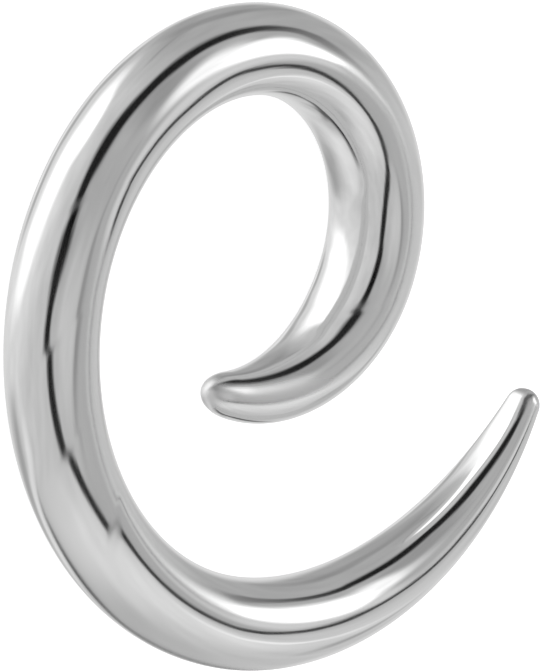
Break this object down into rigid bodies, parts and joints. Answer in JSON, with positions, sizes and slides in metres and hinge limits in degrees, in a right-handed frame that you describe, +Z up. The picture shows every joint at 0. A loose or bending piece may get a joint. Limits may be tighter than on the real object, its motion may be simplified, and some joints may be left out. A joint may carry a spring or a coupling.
{
  "type": "spiral ear taper",
  "caption": "Polished steel spiral ear taper: a round rod wound flat in just over a turn, full gauge along its shank and thinned to a rounded tip at both ends.",
  "frame": {"origin": "under the middle of the whole outline, at the level that the shank rests on", "axes": "+Z up, square to the level of the spiral; +X along the longest extent, from the coil towards the outer tip; +Y along the other extent, with the open throat on the -Y side of the inner tip"},
  "size_m": [0.0478, 0.0416, 0.006],
  "materials": {
    "polished_steel": "mirror polished surgical stainless steel, bare metal with no plating"
  },
  "bodies": {
    "root": {"spiral_taper": "polished_steel"}
  },
  "joints": []
}
